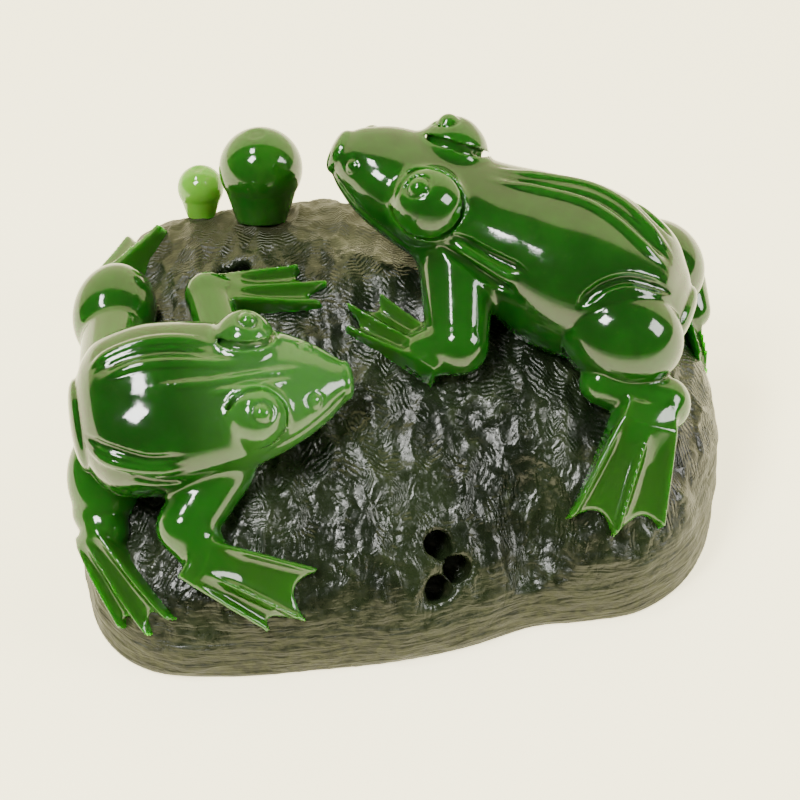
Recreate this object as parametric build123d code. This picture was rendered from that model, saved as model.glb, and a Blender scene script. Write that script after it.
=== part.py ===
from build123d import *
import math
import os

# A carved hardstone group: two frogs and two beads, each worked on its own from bright
# green stone and pinned to a dark boulder.  Millimetres, +Z up, standing on Z = 0.

# ---------------------------------------------------------------- the boulder
ROCK_LENGTH = 64.0          # along X
ROCK_DEPTH = 52.0           # along Y
ROCK_HEIGHT = 22.6          # ground to crest
ROCK_CREST = (-0.03, 0.17)  # place of the crest, as shares of length and depth
ROCK_LEVELS = 9             # sections that the boulder is lofted through
ROCK_TOP_SHARE = 0.975      # height of the last section, as a share of the crest
ROCK_RIM_SHARE = 0.97       # places further out than this share of a ray count as the rim
SLOPE_STEP = 0.5            # half the distance over which a slope is measured

# Ground outline: x and y as shares of half the length and half the depth, then the
# steepness of the flank above that point (2 slopes gently, 8 is almost a wall).
ROCK_OUTLINE = [
    (1.00, 0.08, 4.6), (0.98, -0.26, 3.6), (0.89, -0.52, 3.2), (0.74, -0.68, 3.0),
    (0.57, -0.73, 2.8), (0.40, -0.76, 2.5), (0.20, -0.86, 2.4), (-0.02, -0.93, 2.4),
    (-0.26, -0.97, 2.4), (-0.52, -1.00, 2.4), (-0.76, -0.97, 2.4), (-0.91, -0.80, 2.6),
    (-0.98, -0.48, 3.2), (-1.00, -0.08, 4.4), (-1.00, 0.32, 5.2), (-0.98, 0.62, 6.0),
    (-0.91, 0.84, 6.5), (-0.74, 0.96, 7.0), (-0.44, 1.00, 7.5), (-0.06, 0.99, 7.5),
    (0.28, 0.93, 7.0), (0.57, 0.80, 6.5), (0.81, 0.61, 5.8), (0.96, 0.36, 5.2),
]

# The crevice down the front flank, from its upper end to where it notches the outline:
# place on the boulder and radius of its rounded bottom.
CREVICE_COURSE = [(10.6, -7.5, 0.9), (11.8, -12.5, 2.0), (13.2, -16.5, 2.6), (14.4, -19.8, 3.0)]
CREVICE_RISE = 0.35             # how far its centre stands off the boulder, share of radius
FRONT_PIT = (4.4, -19.6)        # three drilled lobes low on the front flank
FRONT_PIT_DIAMETER = 2.6
FRONT_PIT_DEPTH = 3.5
FRONT_PIT_LOBES = [(-0.7, 1.5), (1.3, 0.2), (-0.7, -1.4)]
REAR_PIT = (-17.0, 10.5)        # two drilled lobes behind the left frog
REAR_PIT_DIAMETER = 2.0
REAR_PIT_DEPTH = 2.5
REAR_PIT_LOBES = [(-0.8, 0.0), (0.9, 0.3)]

# ---------------------------------------------------------------- fits
BOND_GAP = 0.05             # adhesive film between the bright pieces and the boulder
PIN_CLEARANCE = 0.05        # round each dowel pin, and at its ends
FROG_PIN_DIAMETER = 1.8
FROG_PIN_LENGTH = 7.0
LARGE_BEAD_PIN_DIAMETER = 1.4
LARGE_BEAD_PIN_LENGTH = 6.0
SMALL_BEAD_PIN_DIAMETER = 0.9
SMALL_BEAD_PIN_LENGTH = 3.6

# ---------------------------------------------------------------- the beads
BEAD_LEAN = 28.0            # degrees that the bead axes lean back from upright
BEAD_ROOT = 0.3             # how far a neck starts below the boulder's surface, share of diameter
LARGE_BEAD_DIAMETER = 8.6
LARGE_BEAD_SEAT = (-14.3, 19.2)
LARGE_BEAD_STANDOFF = 4.9   # boulder surface to the middle of the bead
LARGE_BEAD_NECK = 5.0       # diameter of the neck that meets the boulder
SMALL_BEAD_DIAMETER = 4.8
SMALL_BEAD_SEAT = (-20.8, 22.4)
SMALL_BEAD_STANDOFF = 2.7
SMALL_BEAD_NECK = 2.8

# ---------------------------------------------------------------- the frogs
# A frog has its own axes: forward, to its left, and up, from the middle of its trunk.
LEFT_FROG_LENGTH = 27.0
LEFT_FROG_PLACE = (-0.336, -0.185)      # trunk over the boulder, shares of length and depth
LEFT_FROG_LIFT = 5.9                    # trunk middle above the boulder
LEFT_FROG_TURN = (8.0, 5.0, 20.0)       # heading, pitch up, roll towards the front
RIGHT_FROG_LENGTH = 37.0
RIGHT_FROG_PLACE = (0.255, 0.135)
RIGHT_FROG_LIFT = 5.6
RIGHT_FROG_TURN = (163.0, 18.5, 0.0)
TOE_RADIUS = 0.7
TOE_REST = 0.6             # height of a toe's middle over the boulder, as a share of its radius
JOINT_STEP = 0.96           # a limb's next bone starts a little thinner than the last one ends
KNUCKLE_SHARE = 0.10        # how far along the foot each toe starts
KNUCKLE_RADIUS = 0.6        # its radius there, as a share of the wrist's

# Trunk and head: share of the length forward of the middle, then rise, half width and
# half height of the section, as shares of the frog's length.
LEFT_TRUNK = [
    (-0.385, -0.030, 0.130, 0.105), (-0.330, -0.020, 0.220, 0.170), (-0.240, -0.008, 0.280, 0.208),
    (-0.120, 0.000, 0.302, 0.228), (0.020, 0.000, 0.302, 0.228), (0.165, 0.007, 0.280, 0.210),
    (0.290, 0.010, 0.248, 0.180), (0.420, 0.005, 0.195, 0.145), (0.530, 0.000, 0.130, 0.105),
    (0.605, -0.004, 0.065, 0.060),
]
RIGHT_TRUNK = [
    (-0.341, -0.032, 0.090, 0.078), (-0.308, -0.027, 0.141, 0.119), (-0.243, -0.019, 0.195, 0.168),
    (-0.135, -0.019, 0.230, 0.198), (0.000, -0.022, 0.235, 0.208), (0.135, -0.016, 0.203, 0.180),
    (0.270, -0.011, 0.173, 0.140), (0.405, -0.008, 0.165, 0.124), (0.541, -0.003, 0.135, 0.099),
    (0.627, 0.000, 0.086, 0.060), (0.675, 0.000, 0.040, 0.030),
]
LEFT_EYE = (0.278, 0.163, 0.159, 0.083)     # forward, to each side, up, radius
RIGHT_EYE = (0.397, 0.116, 0.078, 0.074)

# Limbs: the root on the trunk, then bends and toes over the boulder.  A root is given in
# the frog's own axes; the others are (x, y) from the trunk middle and a height above the
# boulder; each has its radius.
LEFT_LIMBS = {
    "far_arm": {"root": (5.5, 5.0, -2.0, 2.4),
                "bends": [(2.4, 15.4, 2.0, 2.2), (5.0, 15.4, 1.3, 1.6)],
                "toes": [(11.3, 18.4), (14.3, 16.0), (13.6, 13.8)]},
    "near_arm": {"root": (4.0, -5.8, -2.8, 2.9),
                 "bends": [(1.6, -8.9, 2.4, 2.5), (3.6, -10.6, 1.5, 2.0)],
                 "toes": [(13.3, -11.2), (12.4, -14.3), (8.9, -14.6)]},
    "far_leg": {"root": (-6.5, 4.5, -1.0, 3.2),
                "bends": [(-7.0, 15.4, 3.6, 3.9), (-7.2, 20.5, 1.6, 1.9)],
                "toes": [(-9.3, 28.0), (-7.0, 30.0), (-3.4, 28.6)]},
    "near_leg": {"root": (-6.0, -4.0, -1.0, 3.6),
                 "bends": [(-7.4, -3.2, 2.8, 3.2), (-6.9, -6.4, 1.6, 2.3)],
                 "toes": [(-6.0, -14.4), (-2.8, -15.5), (-0.3, -14.4)]},
}
RIGHT_LIMBS = {
    "near_arm": {"root": (9.0, 4.6, -2.6, 3.4),
                 "bends": [(-10.4, -9.0, 3.0, 2.9), (-13.6, -9.0, 1.9, 2.1)],
                 "toes": [(-18.5, -2.6), (-21.6, -3.4), (-21.3, -5.6)]},
    "far_arm": {"root": (9.0, -5.0, -2.5, 2.8),
                "bends": [(-9.0, 11.0, 2.4, 2.4), (-11.4, 11.8, 1.5, 1.8)],
                "toes": [(-15.4, 11.8), (-15.0, 14.2), (-13.0, 15.6)]},
    "near_leg": {"root": (-4.0, 2.0, -1.0, 4.4),
                 "bends": [(5.2, -7.4, 4.9, 5.2), (9.3, -11.8, 2.6, 2.8),
                           (6.5, -14.4, 1.6, 2.4)],
                 "toes": [(0.1, -22.2), (4.3, -23.1), (8.9, -21.2)]},
    "far_leg": {"root": (-8.0, -5.0, -0.5, 4.0),
                "bends": [(9.5, 5.2, 4.0, 4.4), (13.6, 4.6, 1.6, 2.1)],
                "toes": [(14.2, -1.2), (15.4, 1.0), (15.6, 3.2)]},
}
LEFT_PINS = {"front": (3.5, 1.0), "rear": (-4.0, 1.0)}      # from the trunk middle
RIGHT_PINS = {"front": (-4.0, 0.5), "rear": (4.2, -0.5)}


# ================================================================ boulder
def crest():
    """Place of the boulder's crest."""
    return ROCK_CREST[0] * ROCK_LENGTH, ROCK_CREST[1] * ROCK_DEPTH


def outline_rays():
    """Angle, length and steepness of each ray from the crest to the ground outline."""
    cx, cy = crest()
    rays = []
    for share_x, share_y, steepness in ROCK_OUTLINE:
        dx = share_x * ROCK_LENGTH / 2 - cx
        dy = share_y * ROCK_DEPTH / 2 - cy
        rays.append((math.atan2(dy, dx) % math.tau, math.hypot(dx, dy), steepness))
    return sorted(rays)


def rock_ray(angle):
    """Length and steepness of the ray at any angle, eased between the outline's rays."""
    rays = outline_rays()
    first, last = rays[0], rays[-1]
    rays.insert(0, (last[0] - math.tau, *last[1:]))
    rays.append((first[0] + math.tau, *first[1:]))
    angle %= math.tau
    for (a0, r0, k0), (a1, r1, k1) in zip(rays, rays[1:]):
        if a0 <= angle <= a1:
            t = (angle - a0) / (a1 - a0)
            return r0 + (r1 - r0) * t, k0 + (k1 - k0) * t
    raise ValueError("no ray holds the angle")


def rock_top(x, y):
    """Height of the boulder's surface over a place; places past the rim count as the rim."""
    cx, cy = crest()
    length, steepness = rock_ray(math.atan2(y - cy, x - cx))
    share = min(math.hypot(x - cx, y - cy) / length, ROCK_RIM_SHARE)
    return ROCK_HEIGHT * (1 - share) ** (1 / steepness)


def rock_normal(x, y):
    """Outward direction of the boulder's surface over a place."""
    slope_x = (rock_top(x + SLOPE_STEP, y) - rock_top(x - SLOPE_STEP, y)) / (2 * SLOPE_STEP)
    slope_y = (rock_top(x, y + SLOPE_STEP) - rock_top(x, y - SLOPE_STEP)) / (2 * SLOPE_STEP)
    return Vector(-slope_x, -slope_y, 1).normalized()


def boulder(grown=0.0):
    """The boulder's solid, grown by a gap where something has to clear it."""
    cx, cy = crest()
    sections = []
    for level in range(ROCK_LEVELS + 1):
        height = ROCK_HEIGHT * ROCK_TOP_SHARE * math.sin(level / ROCK_LEVELS * math.pi / 2)
        points = []
        for angle, length, steepness in outline_rays():
            reach = length * (1 - (height / ROCK_HEIGHT) ** steepness) + grown
            points.append((cx + reach * math.cos(angle), cy + reach * math.sin(angle)))
        wire = Wire([Spline(*points, periodic=True)])
        lift = height if level == 0 else height + grown
        sections.append(Pos(0, 0, lift) * Face(wire))
    return loft(sections)


def capsule(start, start_radius, end, end_radius):
    """A tapered bar with a rounded nose at each end, turned in one piece."""
    axis = end - start
    lean = math.asin((start_radius - end_radius) / axis.length)
    heel = (start_radius * math.cos(lean), start_radius * math.sin(lean))
    toe = (end_radius * math.cos(lean), axis.length + end_radius * math.sin(lean))
    middle = (lean - math.pi / 2) / 2
    heel_arc = (start_radius * math.cos(middle), start_radius * math.sin(middle))
    middle = (lean + math.pi / 2) / 2
    toe_arc = (end_radius * math.cos(middle), axis.length + end_radius * math.sin(middle))
    profile = [
        ThreePointArc((0, -start_radius), heel_arc, heel),
        Line(heel, toe),
        ThreePointArc(toe, toe_arc, (0, axis.length + end_radius)),
        Line((0, axis.length + end_radius), (0, -start_radius)),
    ]
    turned = revolve(Face(Wire(profile)), Axis.Y)
    across = axis.cross(Vector(0.3, 0.2, 1)).normalized()
    return Plane(origin=start, x_dir=across, z_dir=across.cross(axis)) * turned


def drilled_pit(stone, place, lobes, diameter, depth):
    """Sinks round-ended holes square to the boulder's surface."""
    for dx, dy in lobes:
        x = place[0] + dx
        y = place[1] + dy
        normal = rock_normal(*place)
        mouth = Vector(x, y, rock_top(x, y)) + normal * diameter
        bottom = Vector(x, y, rock_top(x, y)) - normal * (depth - diameter / 2)
        stone -= capsule(mouth, diameter / 2, bottom, diameter / 2)
    return stone


def cut_crevice(stone):
    """Cuts the rounded valley that runs down the front flank."""
    course = []
    for x, y, radius in CREVICE_COURSE:
        on_rock = Vector(x, y, rock_top(x, y))
        course.append((on_rock + rock_normal(x, y) * radius * CREVICE_RISE, radius))
    foot, foot_radius = course[-1]
    course.append((Vector(foot.X, foot.Y - foot_radius * CREVICE_RISE, 0), foot_radius))
    for (start, start_radius), (end, end_radius) in zip(course, course[1:]):
        stone -= capsule(start, start_radius * JOINT_STEP, end, end_radius)
    return stone


def rock_base():
    """The boulder with its crevice and its two drilled pits."""
    stone = cut_crevice(boulder())
    stone = drilled_pit(stone, FRONT_PIT, FRONT_PIT_LOBES, FRONT_PIT_DIAMETER, FRONT_PIT_DEPTH)
    return drilled_pit(stone, REAR_PIT, REAR_PIT_LOBES, REAR_PIT_DIAMETER, REAR_PIT_DEPTH)


# ================================================================ pins and sockets
def pin_bar(middle, axis, diameter, length, clearance=0.0):
    """A dowel pin about its middle, or its socket when a clearance is given."""
    plane = Plane(origin=middle, z_dir=axis)
    return plane * Cylinder(diameter / 2 + clearance, length + 2 * clearance)


# ================================================================ beads
def bead_axis():
    lean = math.radians(BEAD_LEAN)
    return Vector(0, math.sin(lean), math.cos(lean))


def bead(seat, diameter, standoff, neck):
    """A ball drawn in to a short neck that runs down into the boulder."""
    foot = Vector(*seat, rock_top(*seat))
    middle = foot + bead_axis() * standoff
    plane = Plane(origin=foot - bead_axis() * diameter * BEAD_ROOT, z_dir=bead_axis())
    low = (Align.CENTER, Align.CENTER, Align.MIN)
    return Pos(*middle) * Sphere(diameter / 2) + plane * Cylinder(neck / 2, standoff, align=low)


# ================================================================ frogs
class Frog:
    """Places points of one frog, in its own axes or over the boulder."""

    def __init__(self, length, place, lift, turn):
        heading, pitch, roll = (math.radians(value) for value in turn)
        self.length = length
        self.x = place[0] * ROCK_LENGTH
        self.y = place[1] * ROCK_DEPTH
        self.middle = Vector(self.x, self.y, rock_top(self.x, self.y) + lift)
        self.forward = Vector(math.cos(heading) * math.cos(pitch),
                              math.sin(heading) * math.cos(pitch), math.sin(pitch))
        left = Vector(-math.sin(heading), math.cos(heading), 0)
        up = self.forward.cross(left)
        self.left = left * math.cos(roll) + up * math.sin(roll)
        self.up = up * math.cos(roll) - left * math.sin(roll)

    def own(self, forward, left, up):
        """A point in the frog's own axes."""
        return self.middle + self.forward * forward + self.left * left + self.up * up

    def over_rock(self, dx, dy, height):
        """A point above the boulder, near the frog."""
        x = self.x + dx
        y = self.y + dy
        return Vector(x, y, rock_top(x, y) + height)


def trunk(frog, sections):
    """Head and trunk, lofted through oval sections across the frog."""
    ovals = []
    for forward, rise, half_width, half_height in sections:
        origin = frog.own(forward * frog.length, 0, rise * frog.length)
        plane = Plane(origin=origin, x_dir=frog.left, z_dir=frog.forward)
        ovals.append(plane * Ellipse(half_width * frog.length, half_height * frog.length))
    return loft(ovals)


def limb(frog, plan):
    """One leg or arm from the trunk to its toes."""
    *root, root_radius = plan["root"]
    joints = [(frog.own(*root), root_radius)]
    for dx, dy, height, radius in plan["bends"]:
        joints.append((frog.over_rock(dx, dy, height), radius))
    whole = None
    for (start, start_radius), (end, end_radius) in zip(joints, joints[1:]):
        bone = capsule(start, start_radius * JOINT_STEP, end, end_radius)
        whole = whole + bone if whole else bone
    wrist, wrist_radius = joints[-1]
    tips = [frog.over_rock(dx, dy, TOE_RADIUS * TOE_REST) for dx, dy in plan["toes"]]
    for tip in tips:
        knuckle = wrist + (tip - wrist) * KNUCKLE_SHARE
        whole += capsule(knuckle, wrist_radius * KNUCKLE_RADIUS, tip, TOE_RADIUS)
    return whole


def frog_solid(frog, sections, eye, limbs, boulder_clearance):
    """A whole frog, cut away where it meets the boulder."""
    forward, side, up, radius = (value * frog.length for value in eye)
    whole = trunk(frog, sections)
    for hand in (1, -1):
        whole += Pos(*frog.own(forward, side * hand, up)) * Sphere(radius)
    for plan in limbs.values():
        whole += limb(frog, plan)
    return whole - boulder_clearance


def frog_pins(frog, places):
    """Middles of a frog's dowel pins, half in the boulder and half in the trunk."""
    middles = {}
    for name, (dx, dy) in places.items():
        middles[name] = frog.over_rock(dx, dy, 0)
    return middles


# ================================================================ assembly
def build():
    clearance = boulder(BOND_GAP)
    left = Frog(LEFT_FROG_LENGTH, LEFT_FROG_PLACE, LEFT_FROG_LIFT, LEFT_FROG_TURN)
    right = Frog(RIGHT_FROG_LENGTH, RIGHT_FROG_PLACE, RIGHT_FROG_LIFT, RIGHT_FROG_TURN)
    nodes = {
        "rock_base": rock_base(),
        "left_frog": frog_solid(left, LEFT_TRUNK, LEFT_EYE, LEFT_LIMBS, clearance),
        "right_frog": frog_solid(right, RIGHT_TRUNK, RIGHT_EYE, RIGHT_LIMBS, clearance),
        "large_bead": bead(LARGE_BEAD_SEAT, LARGE_BEAD_DIAMETER, LARGE_BEAD_STANDOFF,
                           LARGE_BEAD_NECK) - clearance,
        "small_bead": bead(SMALL_BEAD_SEAT, SMALL_BEAD_DIAMETER, SMALL_BEAD_STANDOFF,
                           SMALL_BEAD_NECK) - clearance,
    }
    pins = []
    for owner, frog, places in (("left_frog", left, LEFT_PINS), ("right_frog", right, RIGHT_PINS)):
        for name, middle in frog_pins(frog, places).items():
            pins.append((owner, f"{owner}_{name}_pin", middle, Vector(0, 0, 1),
                         FROG_PIN_DIAMETER, FROG_PIN_LENGTH))
    for owner, seat, diameter, length in (
            ("large_bead", LARGE_BEAD_SEAT, LARGE_BEAD_PIN_DIAMETER, LARGE_BEAD_PIN_LENGTH),
            ("small_bead", SMALL_BEAD_SEAT, SMALL_BEAD_PIN_DIAMETER, SMALL_BEAD_PIN_LENGTH)):
        middle = Vector(*seat, rock_top(*seat))
        pins.append((owner, f"{owner}_pin", middle, bead_axis(), diameter, length))
    for owner, name, middle, axis, diameter, length in pins:
        socket = pin_bar(middle, axis, diameter, length, PIN_CLEARANCE)
        nodes[owner] -= socket
        nodes["rock_base"] -= socket
        nodes[name] = pin_bar(middle, axis, diameter, length)
    return nodes


def centred(nodes):
    """The same pieces, with the origin on the ground under the middle of the whole."""
    box = Compound(children=[shape.solids()[0] for shape in nodes.values()]).bounding_box()
    shift = Location((-box.center().X, -box.center().Y, -box.min.Z))
    return {name: shape.moved(shift) for name, shape in nodes.items()}


def main():
    os.makedirs("parts", exist_ok=True)
    for name, shape in centred(build()).items():
        export_step(shape, f"parts/{name}.step")


main()
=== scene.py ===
import math

import bpy
import numpy as np
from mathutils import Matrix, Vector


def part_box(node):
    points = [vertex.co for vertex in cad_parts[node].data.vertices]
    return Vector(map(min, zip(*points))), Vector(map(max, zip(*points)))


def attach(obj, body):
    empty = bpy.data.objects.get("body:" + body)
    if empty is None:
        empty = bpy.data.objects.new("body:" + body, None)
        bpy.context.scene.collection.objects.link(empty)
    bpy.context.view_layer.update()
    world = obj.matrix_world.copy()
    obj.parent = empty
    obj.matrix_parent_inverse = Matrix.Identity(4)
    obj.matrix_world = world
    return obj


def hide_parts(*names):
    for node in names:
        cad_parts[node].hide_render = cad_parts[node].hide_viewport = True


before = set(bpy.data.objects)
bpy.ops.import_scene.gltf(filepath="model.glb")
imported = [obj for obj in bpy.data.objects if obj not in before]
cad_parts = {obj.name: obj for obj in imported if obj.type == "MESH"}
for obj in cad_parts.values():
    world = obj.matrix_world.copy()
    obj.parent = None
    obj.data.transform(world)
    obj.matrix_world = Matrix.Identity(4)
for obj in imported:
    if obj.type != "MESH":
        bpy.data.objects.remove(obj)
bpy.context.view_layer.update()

import openvdb
from mathutils import Vector

bl_info = {
    "name": "Hardstone frog group",
    "version": (1, 0, 0),
    "blender": (4, 5, 0),
    "location": "3D View > Sidebar > Carving",
    "description": "Builds a carved hardstone group of frogs and beads on a dark boulder",
    "category": "Add Mesh",
}

MM = 0.001
ROCK_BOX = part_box("rock_base")
# The carving is drawn in millimetres about the middle of the boulder's footprint.
SHIFT = np.array([(ROCK_BOX[0][0] + ROCK_BOX[1][0]) / 2, (ROCK_BOX[0][1] + ROCK_BOX[1][1]) / 2, 0.0])
CREST_SHARE_OF_BOX = 0.975      # the boulder's solid is cut off level just under its crest
OUTLINE_SWING = 0.1             # the smoothed outline swings this much past its points, in all
ROCK_LENGTH = (ROCK_BOX[1][0] - ROCK_BOX[0][0]) / MM - OUTLINE_SWING
ROCK_DEPTH = (ROCK_BOX[1][1] - ROCK_BOX[0][1]) / MM - OUTLINE_SWING
ROCK_HEIGHT = (ROCK_BOX[1][2] - ROCK_BOX[0][2]) / MM / CREST_SHARE_OF_BOX
ROCK_CREST = (-0.03, 0.17)

# Ground outline: x and y as shares of half the length and half the depth, then the
# steepness of the flank above that point (2 slopes gently, 8 is almost a wall).
ROCK_OUTLINE = [
    (1.00, 0.08, 4.6), (0.98, -0.26, 3.6), (0.89, -0.52, 3.2), (0.74, -0.68, 3.0),
    (0.57, -0.73, 2.8), (0.40, -0.76, 2.5), (0.20, -0.86, 2.4), (-0.02, -0.93, 2.4),
    (-0.26, -0.97, 2.4), (-0.52, -1.00, 2.4), (-0.76, -0.97, 2.4), (-0.91, -0.80, 2.6),
    (-0.98, -0.48, 3.2), (-1.00, -0.08, 4.4), (-1.00, 0.32, 5.2), (-0.98, 0.62, 6.0),
    (-0.91, 0.84, 6.5), (-0.74, 0.96, 7.0), (-0.44, 1.00, 7.5), (-0.06, 0.99, 7.5),
    (0.28, 0.93, 7.0), (0.57, 0.80, 6.5), (0.81, 0.61, 5.8), (0.96, 0.36, 5.2),
]
CREVICE_HEAD = (10.6, -7.5)
CREVICE_MIDDLE = (13.2, -16.5)
CREVICE_FOOT = (14.4, -19.8)
# Drilled pits: place, its lobes about that place, radius and depth.
PITS = [
    ((4.4, -19.6), [(-0.7, 1.5), (1.3, 0.2), (-0.7, -1.4)], 1.45, 2.4),
    ((-17.0, 10.5), [(-0.8, 0.0), (0.9, 0.3)], 1.15, 1.6),
]

BEAD_LEAN = math.radians(28.0)
BEAD_SEATS = [(-14.3, 19.2, 3.2), (-20.8, 22.4, 1.9)]      # place, and radius of the dished rim

# Distances in millimetres that the clay needs.
ROCK_SINK = 0.25                # how far the figures run into the boulder, hidden
PIN_COVER = 2.2                 # radius of the belly brought down round each dowel pin
FAR = 6.0                       # distance that stands for "nowhere near the surface"
BOULDER_CELL = 0.325            # grid of the boulder's clay, and below it the finer grid of the frogs' clay
FROG_CELL = 0.213

# Radius of a bead's neck, length of its foot, and how far the foot widens, in radii of the bead.
BEAD_NECK = 0.84
BEAD_FOOT = 0.72
BEAD_FLARE = -0.24
DIMPLE_TOWARDS = (-0.1, 0.12, 0.98)

# Paler green painted round the left frog's head: partly the stone's paler tone, partly light shining
# through the thinner stone there.
PALE_GLOW_GREEN = (0.060, 0.190, 0.040)
BEAD_GREEN = (0.030, 0.145, 0.010)
SMALL_BEAD_GREENS = ((0.13, 0.36, 0.03), (0.19, 0.44, 0.05), (0.26, 0.50, 0.09))
BLACK_GREEN = (0.004, 0.008, 0.003)
WET_GREEN = (0.013, 0.022, 0.008)
RIDGE_GREEN = (0.020, 0.030, 0.012)
DEEP_OLIVE = (0.012, 0.015, 0.005)
OLIVE = (0.038, 0.043, 0.015)
BROWN_OLIVE = (0.022, 0.021, 0.006)
BRASS_SHADES = ((0.55, 0.36, 0.10), (0.72, 0.52, 0.20))
PAPER_SHADES = ((0.95, 0.86, 0.55), (0.98, 0.91, 0.64))
# Painted shade: the paper's colour far in front of the carving.
FAR_PAPER_SHADE = (0.42, 0.40, 0.30)
FAR_GLOW = (0.05, 0.05, 0.03)
DIM_ROOM = (0.14, 0.13, 0.09)
BRIGHT_WALL = (2.3, 2.15, 1.10)

KEY_COLOR = (1, 1, 0.97)
SIDE_COLOR = (1, 0.99, 0.95)
LIGHT_DISTANCE = 0.55
# Name, direction to the light, width and height in metres, watts and colour.
LIGHTS = [
    ("key_window", (-0.38, -0.33, 0.87), 0.13, 0.16, 3.2, KEY_COLOR),
    ("top_window", (-0.34, 0.06, 0.94), 0.13, 0.09, 1.6, KEY_COLOR),
    ("right_window", (0.85, -0.15, 0.5), 0.22, 0.2, 2.2, SIDE_COLOR),
]
CAMERA_LENS = 128
CAMERA_DISTANCE = 0.285
CAMERA_ELEVATION = math.radians(45)
LOOK_HEIGHT = 0.012


# ================================================================ vectors
def vec(*values):
    """A vector of real numbers."""
    return np.array(values, np.float64)


def unit(v):
    """The same direction, one long."""
    return v / np.linalg.norm(v)


def curve_through(points, steps=8):
    """A smooth line through a few points, as many short steps."""
    points = np.array(points, float)
    if len(points) == 2:
        return np.array([points[0] + (points[1] - points[0]) * t for t in np.linspace(0, 1, steps + 1)])
    padded = np.vstack([2 * points[0] - points[1], points, 2 * points[-1] - points[-2]])
    line = []
    for i in range(1, len(padded) - 2):
        p0, p1, p2, p3 = padded[i - 1:i + 3]
        for t in np.linspace(0, 1, steps, endpoint=False):
            line.append(0.5 * (2 * p1 + (p2 - p0) * t + (2 * p0 - 5 * p1 + 4 * p2 - p3) * t ** 2
                               + (3 * p1 - p0 - 3 * p2 + p3) * t ** 3))
    line.append(padded[-2])
    return np.array(line)


# ================================================================ boulder shape
def crest():
    """Place of the boulder's highest point."""
    return ROCK_CREST[0] * ROCK_LENGTH, ROCK_CREST[1] * ROCK_DEPTH


def outline_rays():
    """Angle, length and steepness of each ray from the crest to the ground outline."""
    cx, cy = crest()
    rays = []
    for share_x, share_y, steepness in ROCK_OUTLINE:
        dx = share_x * ROCK_LENGTH / 2 - cx
        dy = share_y * ROCK_DEPTH / 2 - cy
        rays.append((math.atan2(dy, dx) % math.tau, math.hypot(dx, dy), steepness))
    return sorted(rays)


def ray_table():
    """The rays, smoothed all the way round at one-degree steps."""
    rays = np.array(outline_rays())
    rays = np.vstack([rays[-2:] - [math.tau, 0, 0], rays, rays[:2] + [math.tau, 0, 0]])
    fine = curve_through(rays, 12)
    angles = np.radians(np.arange(361))
    return angles, np.interp(angles, fine[:, 0], fine[:, 1]), np.interp(angles, fine[:, 0], fine[:, 2])


RAYS = ray_table()


def rock_rays(angle):
    """Length and steepness of the rays at any angles."""
    angle = np.mod(angle, math.tau)
    return np.interp(angle, RAYS[0], RAYS[1]), np.interp(angle, RAYS[0], RAYS[2])


def rock_top(x, y):
    """Height of the boulder's surface over a place; places past the rim count as the rim."""
    cx, cy = crest()
    length, steepness = rock_rays(np.arctan2(y - cy, x - cx))
    share = np.minimum(np.hypot(x - cx, y - cy) / length, 0.97)
    return ROCK_HEIGHT * (1 - share) ** (1 / steepness)


def rock_normal(x, y):
    """Direction square to the boulder's surface over a place."""
    step = 0.5
    slope_x = (rock_top(x + step, y) - rock_top(x - step, y)) / (2 * step)
    slope_y = (rock_top(x, y + step) - rock_top(x, y - step)) / (2 * step)
    return unit(vec(-slope_x, -slope_y, 1))


def over_rock(x, y, height=0.0):
    """A point above the boulder's surface."""
    return vec(x, y, float(rock_top(x, y)) + height)


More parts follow.
